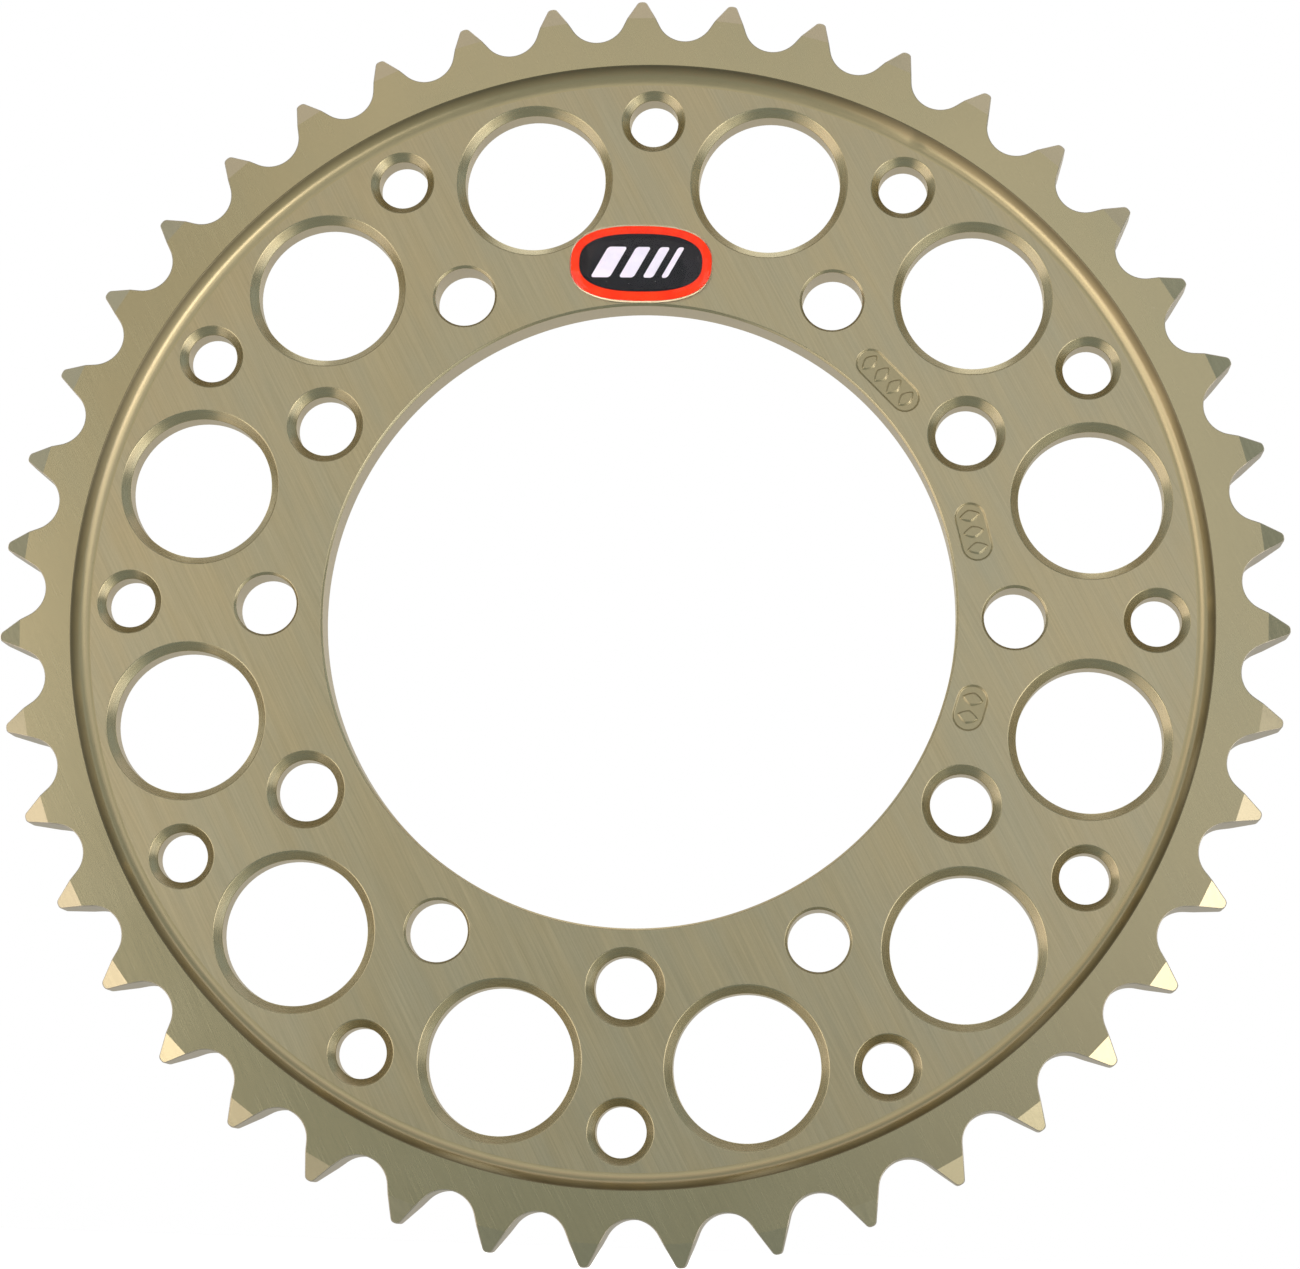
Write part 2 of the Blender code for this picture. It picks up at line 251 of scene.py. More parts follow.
def polar(radius, angle):
    return (radius * math.cos(angle), radius * math.sin(angle))


def bend(corners, steps):
    """Points along a quadratic Bezier curve through the plane."""
    points = []
    for i in range(steps + 1):
        t = i / steps
        weights = ((1 - t) ** 2, 2 * t * (1 - t), t ** 2)
        points.append(tuple(sum(w * p[k] for w, p in zip(weights, corners)) for k in (0, 1)))
    return points


def between(one, two, share):
    return tuple(u + (v - u) * share for u, v in zip(one, two))


def oval(half, power, steps):
    """Points of a superellipse: an ellipse at a power of 1, fuller below it, a lozenge at 2."""
    loop = []
    for i in range(steps):
        turn = 2 * math.pi * i / steps
        c, s = math.cos(turn), math.sin(turn)
        x = math.copysign(abs(c) ** power, c) * half[0]
        loop.append((x, math.copysign(abs(s) ** power, s) * half[1]))
    return loop


def circle(centre, radius, height, steps):
    loop = []
    for i in range(steps):
        x, y = polar(radius, 2 * math.pi * i / steps)
        loop.append((centre[0] + x, centre[1] + y, height))
    return loop


# ---------------------------------------------------------------- the plate
def chamfer_profile(hole, top, sign):
    """Radius and height down one end of a hole, from the face it opens in to its straight wall."""
    radius, chamfer, _, outer_round = hole
    turn = math.tan(math.pi / 8)
    start = radius + chamfer + outer_round * turn
    outer = []
    for i in range(OUTER_ROUND_STEPS + 1):
        angle = math.pi / 4 * i / OUTER_ROUND_STEPS
        drop = outer_round * (1 - math.cos(angle))
        outer.append((start - outer_round * math.sin(angle), top - sign * drop))
    end = chamfer + HOLE_INNER_ROUND * turn
    inner = []
    for i in range(INNER_ROUND_STEPS + 1):
        angle = math.pi / 4 + math.pi / 4 * i / INNER_ROUND_STEPS
        rise = HOLE_INNER_ROUND * math.cos(angle)
        inner.append((radius + HOLE_INNER_ROUND * (1 - math.sin(angle)), top - sign * (end - rise)))
    return outer + [between(outer[-1], inner[0], share) for share in CHAMFER_SUPPORTS] + inner


def drill(skin, centre, hole):
    """Chamfer, wall and back chamfer of one hole. Returns its two outlines in the faces."""
    radius, _, steps, _ = hole
    outlines = []
    ends = []
    for face, sign in ((FACE, 1), (BACK, -1)):
        profile = chamfer_profile(hole, face, sign)
        loops = [circle(centre, r, h, steps) for r, h in profile]
        skin.stack(loops, KIND["chamfer"])
        outlines.append(loops[0])
        ends.append(profile[-1][1])
    top, low = ends
    wall = [circle(centre, radius, top + (low - top) * share, steps) for share in WALL_LEVELS]
    skin.stack(wall, KIND["wall"])
    return outlines


def half_gap(inset):
    """Half of one gap between two teeth, from the seat's bottom to the middle of a tip.

    The inset moves it into the metal. Points are (u sideways, v outward), and the one at
    BEVEL_POINT lies where the bevel starts."""
    seat_end = math.pi / 2 - FLANK_ANGLE
    radius = SEAT_RADIUS + inset
    tip = TIP_RADIUS - inset
    lean = (math.sin(FLANK_ANGLE), math.cos(FLANK_ANGLE))
    points = []
    for i in range(SEAT_STEPS + 1):
        angle = seat_end * i / SEAT_STEPS
        points.append((radius * math.sin(angle), PITCH_RADIUS - radius * math.cos(angle)))
    u, v = points[-1]
    half = TOOTH_STEP / 2
    to_start = BEVEL_START - u * math.sin(half) - v * math.cos(half)
    to_start /= lean[0] * math.sin(half) + lean[1] * math.cos(half)
    along = u * lean[0] + v * lean[1]
    reach = math.sqrt(along ** 2 - u ** 2 - v ** 2 + tip ** 2) - along
    for distance in (to_start * 0.5, to_start, (to_start + reach - TIP_CORNER) / 2):
        points.append((u + distance * lean[0], v + distance * lean[1]))
    corner = (u + reach * lean[0], v + reach * lean[1])
    before = (corner[0] - TIP_CORNER * lean[0], corner[1] - TIP_CORNER * lean[1])
    after_angle = math.atan2(*corner) + TIP_CORNER / TIP_RADIUS
    after = (tip * math.sin(after_angle), tip * math.cos(after_angle))
    points += bend((before, corner, after), TIP_CORNER_STEPS)
    points.append((tip * math.sin(half), tip * math.cos(half)))
    return points


def tooth_loops(inset, drop):
    """The teeth's whole outline for one inset, at the height of their beveled face less a drop,
    and for each of its points whether it lies on a bevel."""
    half = half_gap(inset)
    loop = []
    on_bevel = []
    for tooth in range(TEETH):
        middle = FIRST_TOOTH + (tooth + 0.5) * TOOTH_STEP
        whole = [(-u, v, i >= BEVEL_POINT) for i, (u, v) in reversed(list(enumerate(half)))][1:]
        whole += [(u, v, i >= BEVEL_POINT) for i, (u, v) in enumerate(half)][1:]
        for u, v, beveled in whole:
            side = math.copysign(TOOTH_STEP / 2, u)
            reach = u * math.sin(side) + v * math.cos(side)
            height = RIM - drop - BEVEL_SLOPE * max(0.0, reach - BEVEL_START)
            loop.append((*polar(math.hypot(u, v), middle + math.atan2(u, v)), height))
            on_bevel.append(beveled)
    return loop, on_bevel


def make_teeth(skin):
    """Tooth walls, rounded edges and tip bevels. Returns the rim's outline at its two faces."""
    loops = [tooth_loops(inset * TOOTH_ROUND, drop * TOOTH_ROUND)
             for inset, drop in TOOTH_ROUND_SHARES]
    fronts = [loop for loop, _ in loops]
    on_bevel = loops[0][1]
    backs = [[(x, y, -h) for x, y, h in loop] for loop in fronts]
    walls = [fronts[0]]
    for sign in (1, -1):
        walls.append([(x, y, sign * (h - FLANK_MARGIN)) for x, y, h in fronts[0]])
    walls.append(backs[0])
    for side in (walls, fronts, backs):
        skin.stack(side, KIND["flank"])
    outlines = []
    count = len(on_bevel)
    for loop in (fronts[-1], backs[-1]):
        first = on_bevel.index(False)
        outline = []
        facet = []
        for step in range(count + 1):
            i = (first + step) % count
            if on_bevel[i]:
                facet.append(loop[i])
                continue
            if facet:
                outline.extend((facet[0], facet[-1]))
                skin.cap(facet, KIND["bevel"])
                facet = []
            if step < count:
                outline.append(loop[i])
        outlines.append(outline)
    return outlines


def cove_profile():
    """Radius and height down the milled recess's hollow edge: from the rim, a straight cone that
    runs into an arc."""
    width = RIM_EDGE - COVE_FOOT
    depth = RIM - FACE
    reach = math.hypot(width, depth - COVE_RADIUS)
    sweep = math.pi / 2 + math.atan2(depth - COVE_RADIUS, width) - math.acos(COVE_RADIUS / reach)
    arc = []
    for i in range(COVE_ARC_STEPS + 1):
        angle = sweep * i / COVE_ARC_STEPS
        rise = COVE_RADIUS * (1 - math.cos(angle))
        arc.append((COVE_FOOT + COVE_RADIUS * math.sin(angle), FACE + rise))
    under = (RIM_EDGE - COVE_ROUND * math.cos(sweep), RIM - COVE_ROUND * math.sin(sweep))
    edge = bend(((RIM_EDGE + COVE_ROUND, RIM), (RIM_EDGE, RIM), under), COVE_ROUND_STEPS)
    cone = [between(under, arc[-1], i / COVE_CONE_STEPS) for i in range(1, COVE_CONE_STEPS)]
    return edge + cone + arc[::-1]


def cove_loops():
    """The hollow's outlines, from the rim's face down to the body's."""
    profile = cove_profile()
    loops = []
    for number, (radius, height) in enumerate(profile):
        share = math.sin(math.pi * number / (len(profile) - 1))
        loop = []
        for i in range(COVE_STEPS):
            angle = 2 * math.pi * i / COVE_STEPS
            shift = witness(angle) * share
            loop.append((*polar(radius + shift, angle), height))
        loops.append(loop)
    return loops


def witness(angle):
    """Where the milling cutter met its own start it left a small step, which fades one way."""
    past = (angle - WITNESS_PLACE) % (2 * math.pi)
    return -WITNESS_DEPTH * math.exp(-past / WITNESS_FADE)


def placed(place, angle, along, across, height):
    c, s = math.cos(angle), math.sin(angle)
    return (place[0] + along * c - across * s, place[1] + along * s + across * c, height)


def stadium(place, angle, length, width, height):
    """A straight-sided outline with two round ends."""
    straight = (length - width) / 2
    loop = []
    for end in (0, 1):
        for i in range(PAD_END_STEPS + 1):
            turn = -math.pi / 2 + math.pi * (i / PAD_END_STEPS + end)
            along = (straight if end == 0 else -straight) + width / 2 * math.cos(turn)
            loop.append(placed(place, angle, along, width / 2 * math.sin(turn), height))
    return loop


def make_pad(skin, degrees, length, width, marks):
    """A shallow stamped pad with a row of plain raised lozenges. Returns its outline."""
    angle = math.radians(degrees)
    place = polar(PAD_CIRCLE, angle)
    turned = angle + math.pi / 2
    floor = FACE - PAD_DEPTH
    loops = []
    for inset, drop in PAD_WALL:
        shrink = 2 * inset * MM
        loops.append(stadium(place, turned, length - shrink, width - shrink, FACE - drop * MM))
    skin.stack(loops, KIND["pad"])
    pitch = (length - MARK_MARGIN) / (marks + MARK_END_SPACE)
    bases = []
    for number in range(marks):
        middle = (number - (marks - 1) / 2) * pitch
        walls = []
        for grow, rise in MARK_WALL:
            half = (MARK_HALF[0] * pitch + grow * MM, MARK_HALF[1] * width + grow * MM)
            height = floor + rise * MM
            walls.append([placed(place, turned, middle + along, across, height)
                          for along, across in oval(half, MARK_POWER, MARK_STEPS)])
        skin.stack(walls, KIND["pad"])
        skin.cap(walls[-1], KIND["pad"])
        bases.append(walls[0])
    skin.sheet(loops[-1], bases, floor, KIND["pad"])
    return loops[0]


def hole_places():
    """Every hole's centre and kind."""
    holes = [((0.0, 0.0), BORE)]
    for degrees in range(15, 360, 30):
        holes.append((polar(LARGE_CIRCLE, math.radians(degrees)), LARGE_HOLE))
    for degrees in range(0, 360, 30):
        holes.append((polar(SMALL_CIRCLE, math.radians(degrees)), SMALL_HOLE))
        if degrees != UNDRILLED:
            kind = SUNK_HOLE if degrees % 60 else BOLT_HOLE
            holes.append((polar(BOLT_CIRCLE, math.radians(degrees)), kind))
    return holes


def make_plate():
    skin = Skin()
    rim_front, rim_back = make_teeth(skin)
    cove = cove_loops()
    skin.stack(cove, KIND["cove"])
    skin.sheet(rim_front, [cove[0]], RIM, KIND["rim"])
    fronts = []
    backs = []
    for centre, hole in hole_places():
        front, back = drill(skin, centre, hole)
        fronts.append(front)
        backs.append(back)
    pads = [make_pad(skin, *pad) for pad in PADS]
    skin.sheet(cove[-1], fronts + pads, FACE, KIND["body"])
    skin.sheet(rim_back, backs, BACK, KIND["body"])
    return skin.build("plate_machined")


# ---------------------------------------------------------------- material helpers
class Shade:
    """A material whose nodes are added one call at a time."""

    def __init__(self, name):
        self.material = bpy.data.materials.new(name)
        self.material.use_nodes = True
        self.tree = self.material.node_tree
        self.shader = self.tree.nodes["Principled BSDF"]
        self.output = self.tree.nodes["Material Output"]

    def put(self, socket, value):
        """Links a socket to another node's output, or sets it to a constant."""
        if isinstance(value, bpy.types.NodeSocket):
            self.tree.links.new(value, socket)
        else:
            socket.default_value = value

    def node(self, kind, values=None, **settings):
        made = self.tree.nodes.new(kind)
        for key, value in settings.items():
            setattr(made, key, value)
        for key, value in (values or {}).items():
            self.put(made.inputs[key], value)
        return made

    def maths(self, operation, one, two=0.0, three=0.0):
        values = {0: one, 1: two, 2: three}
        return self.node("ShaderNodeMath", values, operation=operation).outputs[0]

    def mix(self, share, one, two, blend="MIX"):
        made = self.node("ShaderNodeMix", {0: share}, data_type="RGBA", blend_type=blend)
        for slot, value in ((6, one), (7, two)):
            if isinstance(value, tuple):
                value = (*value, 1.0)
            self.put(made.inputs[slot], value)
        return made.outputs[2]

    def stretch(self, value, low, high, to_low=0.0, to_high=1.0):
        """A smooth step from one range of values to another."""
        values = {"Value": value, "From Min": low, "From Max": high}
        values.update({"To Min": to_low, "To Max": to_high})
        return self.node("ShaderNodeMapRange", values, interpolation_type="SMOOTHSTEP").outputs[0]

    def flat_layout(self):
        """Metres along and across each surface, as the mesh collector laid them out."""
        return self.node("ShaderNodeUVMap", uv_map="layout").outputs[0]

    def coords(self, source, scale=(1.0, 1.0, 1.0), turn=(0.0, 0.0, 0.0)):
        """Places on the object, or in its flat layout, turned and then scaled."""
        if source == "layout":
            place = self.flat_layout()
        else:
            place = self.node("ShaderNodeTexCoord").outputs["Object"]
        turned = self.node("ShaderNodeMapping", {"Vector": place, "Rotation": turn}).outputs[0]
        return self.node("ShaderNodeMapping", {"Vector": turned, "Scale": scale}).outputs[0]

    def noise(self, place, scale, detail, roughness):
        values = {"Vector": place, "Scale": scale, "Detail": detail, "Roughness": roughness}
        return self.node("ShaderNodeTexNoise", values).outputs["Fac"]

    def specks(self, place, scale, rarity, edge, core):
        """Round specks in a few cells of a scatter. Edge and core are their radii, in cells."""
        values = {"Vector": place, "Scale": scale, "Randomness": 1.0}
        dust = self.node("ShaderNodeTexVoronoi", values)
        chance = self.node("ShaderNodeSeparateColor", {0: dust.outputs["Color"]}).outputs[0]
        picked = self.maths("GREATER_THAN", chance, rarity)
        return self.maths("MULTIPLY", self.stretch(dust.outputs["Distance"], edge, core), picked)

    def bump(self, height, distance):
        values = {"Height": height, "Distance": distance, "Strength": 1.0}
        self.feed(Normal=self.node("ShaderNodeBump", values).outputs[0])

    def feed(self, **sockets):
        """Sets sockets of the shader, named with underscores for spaces."""
        for name, value in sockets.items():
            self.put(self.shader.inputs[name.replace("_", " ")], value)

    def see_through(self, share):
        """Lets rays pass where the share is 1."""
        either = self.node("ShaderNodeMixShader", {0: share})
        clear = self.node("ShaderNodeBsdfTransparent")
        self.put(either.inputs[1], self.shader.outputs[0])
        self.put(either.inputs[2], clear.outputs[0])
        self.put(self.output.inputs["Surface"], either.outputs[0])


# ---------------------------------------------------------------- materials
GRAIN_TURN = (0.0, math.radians(-62.0), 0.0)
GOLD = (0.47, 0.395, 0.232)
OLIVE = (0.43, 0.405, 0.27)
BRIGHT = (0.62, 0.54, 0.38)
DUST = (0.75, 0.7, 0.72)


def anodised(name, source, lines, roughness, relief, blast,
             gold=GOLD, olive=OLIVE, streaks=1.0, painted_edge_shade=None):
    """Hard-anodised aluminium. The lines give its tool or rolling marks: (along, across) per metre.

    Relief is the depth of those marks and blast that of the matt grain, both in millimetres. The
    last argument gives the width of a painted shade, a darker margin painted into the colour next
    to the hollow's rim edge, and the share of the colour left at its darkest."""
    s = Shade(name)
    if source == "object":
        place = s.coords("object", (lines[0], 900.0, lines[1]), GRAIN_TURN)
        broad = s.coords("object", (14.0, 60.0, 210.0), GRAIN_TURN)
    else:
        place = s.coords("layout", (lines[0], lines[1], 1.0))
        broad = s.coords("layout", (60.0, 900.0, 1.0))
    plain = s.coords("object")
    grain = s.noise(place, 1.0, 4.0, 0.62)
    bands = s.noise(broad, 1.0, 2.0, 0.5)
    cloud = s.noise(plain, 55.0, 3.0, 0.55)
    fine = s.noise(plain, 5200.0, 2.0, 0.6)

    # gold to olive in bands and clouds, lighter and darker along the marks, with bright specks
    share = s.maths("MULTIPLY_ADD", bands, 0.6 * streaks, s.maths("MULTIPLY", cloud, 0.5))
    tint = s.mix(s.stretch(share, 0.3, 0.85), gold, olive)
    lift = s.maths("MULTIPLY_ADD", grain, 0.44 * streaks, 1.0 - 0.22 * streaks)
    lift = s.maths("MULTIPLY_ADD", fine, 0.12, s.maths("SUBTRACT", lift, 0.06))
    # painted shade: the colour darkens towards the hollow's rim edge, across its flat layout
    if painted_edge_shade:
        width, darkest = painted_edge_shade
        across = s.node("ShaderNodeSeparateXYZ", {0: s.flat_layout()}).outputs["Y"]
        lift = s.maths("MULTIPLY", lift, s.stretch(across, 0.0, width, darkest, 1.0))
    grey = s.node("ShaderNodeCombineColor", {0: lift, 1: lift, 2: lift}).outputs[0]
    tint = s.mix(1.0, tint, grey, "MULTIPLY")
    specks = s.specks(plain, 260.0, 0.93, 0.045, 0.02)
    tint = s.mix(s.maths("MULTIPLY", specks, 0.5), tint, BRIGHT)

    # the marks and clouds also vary the gloss round the finish's own roughness
    rough = s.maths("MULTIPLY_ADD", grain, 0.16, roughness - 0.08)
    rough = s.maths("MULTIPLY_ADD", cloud, 0.08, s.maths("SUBTRACT", rough, 0.04))
    s.feed(Base_Color=tint, Metallic=1.0, Roughness=rough)
    height = s.maths("MULTIPLY_ADD", grain, relief, s.maths("MULTIPLY", fine, blast))
    s.bump(height, MM)
    return s.material


def plate_materials():
    """The plate's finishes, in the order of KINDS."""
    made = {
        "body": anodised("anodised_rolled_face", "object", (55.0, 3600.0), 0.34, 0.0080, 0.0016,
                         gold=(0.532, 0.440, 0.262), olive=(0.480, 0.432, 0.292)),
        "rim": anodised("anodised_rim_face", "object", (90.0, 5200.0), 0.25, 0.0011, 0.0018,
                        gold=(0.485, 0.42, 0.25), olive=(0.45, 0.41, 0.262), streaks=0.45),
        # the hollow gets a painted shade, its colour darker next to its rim edge
        "cove": anodised("anodised_milled_cove", "layout", (300.0, 5200.0), 0.31, 0.0012, 0.0012,
                         gold=(0.515, 0.425, 0.245), olive=(0.45, 0.40, 0.26), streaks=0.35,
                         painted_edge_shade=(2.3 * MM, 0.40)),
        "chamfer": anodised("anodised_turned_chamfer", "layout", (260.0, 6500.0), 0.27, 0.0036,
                            0.0022, streaks=0.8),
        "wall": anodised("anodised_bored_wall", "layout", (1800.0, 260.0), 0.42, 0.003, 0.002,
                         gold=(0.56, 0.48, 0.345), olive=(0.52, 0.47, 0.355), streaks=0.5),
        "bevel": anodised("anodised_tooth_bevel", "object", (300.0, 2200.0), 0.22, 0.0012, 0.0014,
                          gold=(0.53, 0.46, 0.29), olive=(0.5, 0.45, 0.3), streaks=0.4),
        "flank": anodised("anodised_tooth_flank", "layout", (3200.0, 120.0), 0.44, 0.004, 0.002,
                          gold=(0.48, 0.42, 0.33), olive=(0.44, 0.41, 0.34), streaks=0.7),
        "pad": anodised("anodised_stamped_pad", "object", (70.0, 3200.0), 0.38, 0.003, 0.002,
                        streaks=0.5),
    }
    return [made[kind] for kind in KINDS]


def ink(name, colour, darker, roughness, dust=0.0):
    """Printed vinyl or ink: slight mottle, specks of dust and a faint orange peel."""
    s = Shade(name)
    plain = s.coords("object")
    cloud = s.noise(plain, 420.0, 3.0, 0.6)
    fine = s.noise(plain, 9000.0, 2.0, 0.6)
    tint = s.mix(s.stretch(cloud, 0.35, 0.7), colour, darker)
    specks = s.specks(plain, 1500.0, 0.9, 0.12, 0.05)
    tint = s.mix(s.maths("MULTIPLY", specks, dust), tint, DUST)
    s.feed(Base_Color=tint, Roughness=s.maths("MULTIPLY_ADD", cloud, 0.15, roughness - 0.07))
    s.feed(Specular_IOR_Level=0.04)
    s.bump(fine, 0.012 * MM)
    return s.material


def resin():
    """Clear cast resin with a slight unevenness. Shadow rays pass, so that the print stays lit."""
    s = Shade("resin_clear")
    wave = s.noise(s.coords("object"), 240.0, 1.0, 0.4)
    s.feed(Base_Color=(1.0, 1.0, 1.0, 1.0), Transmission_Weight=1.0, IOR=1.4)
    s.feed(Roughness=s.maths("MULTIPLY_ADD", wave, 0.03, 0.01))
    s.bump(wave, 0.05 * MM)
    s.see_through(s.node("ShaderNodeLightPath").outputs["Is Shadow Ray"])
    return s.material


# ---------------------------------------------------------------- the badge
DOME_LOW, DOME_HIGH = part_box("label_dome")
BADGE_MIDDLE = ((DOME_LOW.x + DOME_HIGH.x) / 2, (DOME_LOW.z + DOME_HIGH.z) / 2)
BADGE_HALF = ((DOME_HIGH.x - DOME_LOW.x) / 2, (DOME_HIGH.z - DOME_LOW.z) / 2)
BADGE_POWER = 2 / 2.6                     # below 1: fuller than an ellipse
BADGE_STEPS = 160
BAR_LEAN = math.radians(28.0)
BAR_CORNER = 0.5 * MM
BAR_ROUND = 0.02 * MM
DOME_SKIRT = 0.45 * MM                    # height of the resin's upright edge
DOME_FOOT = 0.06 * MM                     # half the height of its tapered foot, sunk by as much
DOME_TAPER = 0.05 * MM
DOME_STEPS = 18
DOME_SWEEP = 0.985 * math.pi / 2
DOME_REACH = 0.9                          # how far in the crown goes, in half heights of the oval


def badge_loop(half, height):
    """The badge's oval outline at one height."""
    return [(BADGE_MIDDLE[0] + x, BADGE_MIDDLE[1] + y, height)
            for x, y in oval(half, BADGE_POWER, BADGE_STEPS)]


def layer(name, loop_at, low, high, rounding):
    """A thin printed layer with both its edges eased."""
    skin = Skin()
    loops = [loop_at(rounding * 0.4, low), loop_at(0.0, low + rounding * 0.4)]
    loops += [loop_at(0.0, high - rounding), loop_at(rounding * 0.3, high - rounding * 0.3)]
    loops.append(loop_at(rounding, high))
    skin.stack(loops, 0)
    skin.cap(loops[0][::-1], 0)
    skin.cap(loops[-1], 0)
    return skin.build(name)


def oval_layer(name, node, rounding):
    """An oval layer as wide and tall as its CAD solid."""
    low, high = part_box(node)
    half = ((high.x - low.x) / 2, (high.z - low.z) / 2)

    def loop_at(inset, height):
        return badge_loop((half[0] - inset, half[1] - inset), height)

    return layer(name, loop_at, -high.y, -low.y, rounding)


def stripe_layer(name, node):
    """A slanted bar with rounded corners, as wide and tall as its CAD solid."""
    low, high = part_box(node)
    middle = ((low.x + high.x) / 2, (low.z + high.z) / 2)
    half_y = (high.z - low.z) / 2
    slope = math.tan(BAR_LEAN)
    half_x = (high.x - low.x) / 2 - slope * half_y
    corner = min(BAR_CORNER, half_x * 0.8)

    def loop_at(inset, height):
        loop = []
        for qx, qy, first in ((1, 1, 0), (-1, 1, 90), (-1, -1, 180), (1, -1, 270)):
            for degrees in range(first, first + 91, 15):
                turn = math.radians(degrees)
                y = qy * (half_y - corner) + (corner - inset) * math.sin(turn)
                x = qx * (half_x - corner) + (corner - inset) * math.cos(turn)
                loop.append((middle[0] + x + slope * y, middle[1] + y, height))
        return loop

    return layer(name, loop_at, -high.y, -low.y, BAR_ROUND)


def make_dome():
    """Clear resin that wraps the raised print: an upright skirt and a low crown."""
    skin = Skin()
    floor, top = -DOME_HIGH.y, -DOME_LOW.y
    skirt = floor + DOME_SKIRT
    loops = [badge_loop([half - DOME_TAPER for half in BADGE_HALF], floor - DOME_FOOT)]
    loops.append(badge_loop(BADGE_HALF, floor + DOME_FOOT))
    loops.append(badge_loop(BADGE_HALF, skirt))
    for i in range(1, DOME_STEPS + 1):
        angle = DOME_SWEEP * i / DOME_STEPS
        inset = BADGE_HALF[1] * (1 - math.cos(angle)) * DOME_REACH
        height = skirt + (top - skirt) * math.sin(angle)
        loops.append(badge_loop([half - inset for half in BADGE_HALF], height))
    skin.stack(loops, 0)
    skin.cap(loops[0][::-1], 0)
    peak = (*BADGE_MIDDLE, top)
    last = loops[-1]
    for one, two in zip(last, last[1:] + last[:1]):
        skin.add((one, two, peak), 0, (one[:2], two[:2], peak[:2]), True)
    return skin.build("dome_resin", sharp=50.0)


def make_badge():
    red = ink("film_orange_red", (0.95, 0.04, 0.003), (0.86, 0.026, 0.002), 0.34, 0.12)
    black = ink("ink_black", (0.007, 0.006, 0.009), (0.004, 0.003, 0.005), 0.32, 0.5)
    pale = ink("ink_pale", (0.86, 0.82, 0.93), (0.80, 0.76, 0.88), 0.4)
    glue = ink("adhesive_pale", (0.62, 0.56, 0.48), (0.5, 0.45, 0.38), 0.5)
    pieces = []
    for name, rounding, slot, material in (("adhesive", 0.04 * MM, "adhesive", glue),
                                           ("film", 0.06 * MM, "red_film", red),
                                           ("field", 0.03 * MM, "black_ink", black)):
        node = f"label_{name}"
        pieces.append((oval_layer(f"badge_{name}", node, rounding), node, slot, material))
    pieces.append((make_dome(), "label_dome", "clear_resin", resin()))
    for number in range(1, 5):
        node = f"label_stripe_{number}"
        pieces.append((stripe_layer(f"badge_stripe_{number}", node), node, "pale_ink", pale))
    for piece, node, slot, material in pieces:
        piece.data.materials.append(material)
        settle(piece, node, slot)


def settle(piece, node, slot):
    """Puts a piece on the part's one body, in the place of its CAD node."""
    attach(piece, "root")
    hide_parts(node)


# ---------------------------------------------------------------- stage, light, camera
FLOOR_HALF = 3.0
FLOOR_GAP = 0.05 * MM                     # between the floor and the lowest teeth
FLOOR_GLOW = 0.68                         # makes the floor as white as the surroundings
FRONT_GLOW = (0.343, 0.391, 0.399, 1.0)
BACK_GLOW = (0.660, 0.660, 0.620, 1.0)
GLOW_BLEND = 0.15                         # half width of the change between the two
SOFTBOX_DISTANCE = 0.9
FILL_PLACE = Vector((0.1, -0.8, 0.45))
FILL_SIDE = 0.6
FILL_POWER = 3.3
CAMERA_LENS = 86.9                        # millimetres, as is the sensor's width
CAMERA_SENSOR = 36.0
CAMERA_PLACE = Vector((0.03898, -0.53303, -0.10788))
CAMERA_AIM = Vector((0.00217, 0.0, -0.00375))
CAMERA_ROLL = math.radians(1.842)
SOFTBOXES = (  # tilt from the axis, turn round it, side, power, colour
    (18, 30, 0.45, 0.19, (1.00, 0.86, 0.98)),
    (18, 90, 0.45, 0.18, (0.94, 1.00, 0.89)),
    (36, 0, 0.45, 0.64, (1.00, 0.97, 0.94)),
    (36, 90, 0.45, 0.17, (1.00, 0.74, 0.78)),
    (36, 135, 0.45, 0.19, (1.00, 0.74, 0.52)),
    (36, 180, 0.45, 0.78, (1.00, 0.90, 0.86)),
    (32, 212, 0.45, 0.12, (1.00, 0.92, 0.84)),
    (32, 328, 0.45, 0.12, (1.00, 0.92, 0.84)),
    (57, 184, 0.34, 0.22, (1.00, 0.95, 0.86)),
    (57, 210, 0.34, 0.75, (1.00, 0.93, 0.84)),
    (57, 310, 0.34, 0.30, (1.00, 0.93, 0.88)),
    (57, 330, 0.34, 0.90, (1.00, 0.96, 0.94)),
    (57, 350, 0.34, 0.63, (1.00, 0.90, 0.92)),
    (78, 195, 0.45, 0.70, (1.00, 0.86, 0.85)),
    (78, 225, 0.45, 0.43, (1.00, 0.84, 0.77)),
    (78, 315, 0.45, 0.13, (1.00, 0.98, 0.80)),
    (78, 345, 0.45, 0.33, (0.96, 0.96, 1.00)),
    (90, 30, 0.45, 0.22, (0.64, 0.79, 1.00)),
    (90, 60, 0.45, 0.37, (1.00, 0.89, 0.98)),
    (90, 90, 0.45, 0.31, (1.00, 0.84, 0.93)),
    (90, 120, 0.45, 0.30, (1.00, 0.83, 0.88)),
    (90, 150, 0.45, 0.23, (0.89, 0.86, 1.00)),
    (90, 180, 0.45, 0.20, (1.00, 0.94, 0.87)),
    (125, 20, 0.45, 0.80, (1.00, 0.96, 0.90)),
    (125, 165, 0.45, 1.10, (1.00, 0.97, 0.93)),
    (112, 90, 0.45, 0.60, (0.95, 0.98, 1.00)),
)


def panel(name, place, side, power, colour):
    """A softbox: a square of light at a place, facing the middle of the sprocket."""
    data = bpy.data.lights.new(name, "AREA")
    data.shape = "SQUARE"
    data.size = side
    data.energy = power
    data.color = colour
    lamp = bpy.data.objects.new(name, data)
    bpy.context.scene.collection.objects.link(lamp)
    lamp.location = place
    lamp.rotation_mode = "QUATERNION"
    lamp.rotation_quaternion = place.to_track_quat("Z", "Y")
    lamp.visible_camera = False
    return lamp


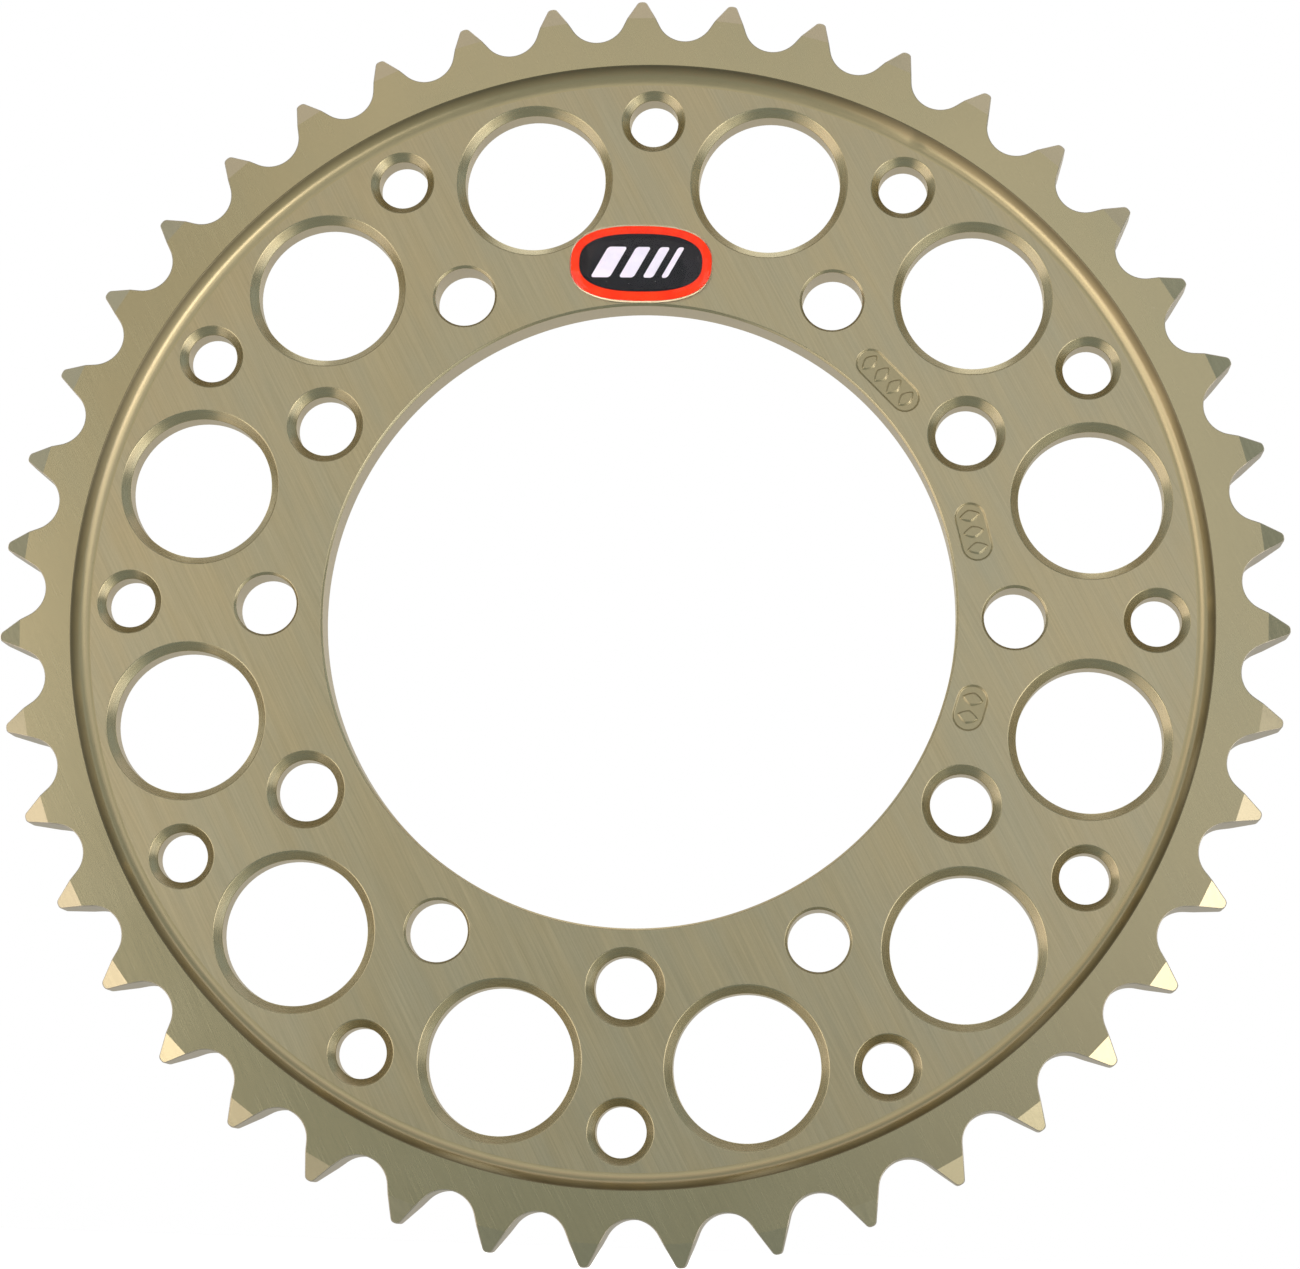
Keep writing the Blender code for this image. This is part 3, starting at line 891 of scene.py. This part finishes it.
def make_world():
    """White surroundings for the camera. Other rays see a dim room in front and a bright one
    behind."""
    world = bpy.data.worlds.new("studio")
    bpy.context.scene.world = world
    world.use_nodes = True
    nodes, links = world.node_tree.nodes, world.node_tree.links
    place = nodes.new("ShaderNodeTexCoord")
    split = nodes.new("ShaderNodeSeparateXYZ")
    links.new(place.outputs["Generated"], split.inputs[0])
    depth = nodes.new("ShaderNodeMapRange")
    depth.interpolation_type = "SMOOTHSTEP"
    depth.inputs["From Min"].default_value = -GLOW_BLEND
    depth.inputs["From Max"].default_value = GLOW_BLEND
    links.new(split.outputs["Y"], depth.inputs["Value"])
    tint = nodes.new("ShaderNodeMix")
    tint.data_type = "RGBA"
    tint.inputs[6].default_value = FRONT_GLOW
    tint.inputs[7].default_value = BACK_GLOW
    links.new(depth.outputs[0], tint.inputs[0])
    room = nodes["Background"]
    links.new(tint.outputs[2], room.inputs["Color"])
    plain = nodes.new("ShaderNodeBackground")
    plain.inputs["Color"].default_value = (1.0, 1.0, 1.0, 1.0)
    rays = nodes.new("ShaderNodeLightPath")
    either = nodes.new("ShaderNodeMixShader")
    links.new(rays.outputs["Is Camera Ray"], either.inputs[0])
    links.new(room.outputs[0], either.inputs[1])
    links.new(plain.outputs[0], either.inputs[2])
    links.new(either.outputs[0], nodes["World Output"].inputs["Surface"])


def make_floor():
    """A pale floor under the lowest teeth. It throws no shadow, isn't mirrored in the metal, and
    is clear from below, where the photograph's camera is."""
    mesh = bpy.data.meshes.new("floor")
    corners = ((-1, -1), (1, -1), (1, 1), (-1, 1))
    corners = [(x * FLOOR_HALF, y * FLOOR_HALF, 0.0) for x, y in corners]
    mesh.from_pydata(corners, [], [(0, 1, 2, 3)])
    floor = bpy.data.objects.new("floor", mesh)
    bpy.context.scene.collection.objects.link(floor)
    floor.location.z = CAD_BOX[0].z - FLOOR_GAP
    s = Shade("floor_pale")
    cloud = s.noise(s.coords("object"), 3.0, 3.0, 0.5)
    s.feed(Base_Color=s.mix(cloud, (0.84, 0.84, 0.83), (0.88, 0.88, 0.87)), Roughness=0.7)
    s.feed(Emission_Color=(1.0, 1.0, 1.0, 1.0), Emission_Strength=FLOOR_GLOW)
    s.see_through(s.node("ShaderNodeNewGeometry").outputs["Backfacing"])
    mesh.materials.append(s.material)
    floor.visible_glossy = False
    floor.visible_shadow = False


def make_lights():
    """Softboxes on a globe round the sprocket, and a fill light that only matt surfaces see."""
    for number, (tilt, turn, side, power, colour) in enumerate(SOFTBOXES, start=1):
        x, z = polar(math.sin(math.radians(tilt)), math.radians(turn))
        away = Vector((x, -math.cos(math.radians(tilt)), z))
        panel(f"softbox_{number}", away * SOFTBOX_DISTANCE, side, power, colour)
    fill = panel("softbox_fill", FILL_PLACE, FILL_SIDE, FILL_POWER, (1.0, 1.0, 1.0))
    fill.visible_glossy = False


def make_camera():
    data = bpy.data.cameras.new("camera")
    data.lens = CAMERA_LENS
    data.sensor_width = CAMERA_SENSOR
    data.clip_start = 0.01
    camera = bpy.data.objects.new("camera", data)
    bpy.context.scene.collection.objects.link(camera)
    camera.location = CAMERA_PLACE
    camera.rotation_mode = "QUATERNION"
    towards = (CAMERA_AIM - CAMERA_PLACE).to_track_quat("-Z", "Y")
    camera.rotation_quaternion = towards @ Quaternion((0.0, 0.0, 1.0), CAMERA_ROLL)
    bpy.context.scene.camera = camera


def main():
    plate = make_plate()
    for material in plate_materials():
        plate.data.materials.append(material)
    settle(plate, "sprocket_plate", "anodised_aluminium")
    make_badge()
    make_world()
    make_floor()
    make_lights()
    make_camera()
    bpy.context.scene.view_settings.view_transform = "Standard"


main()
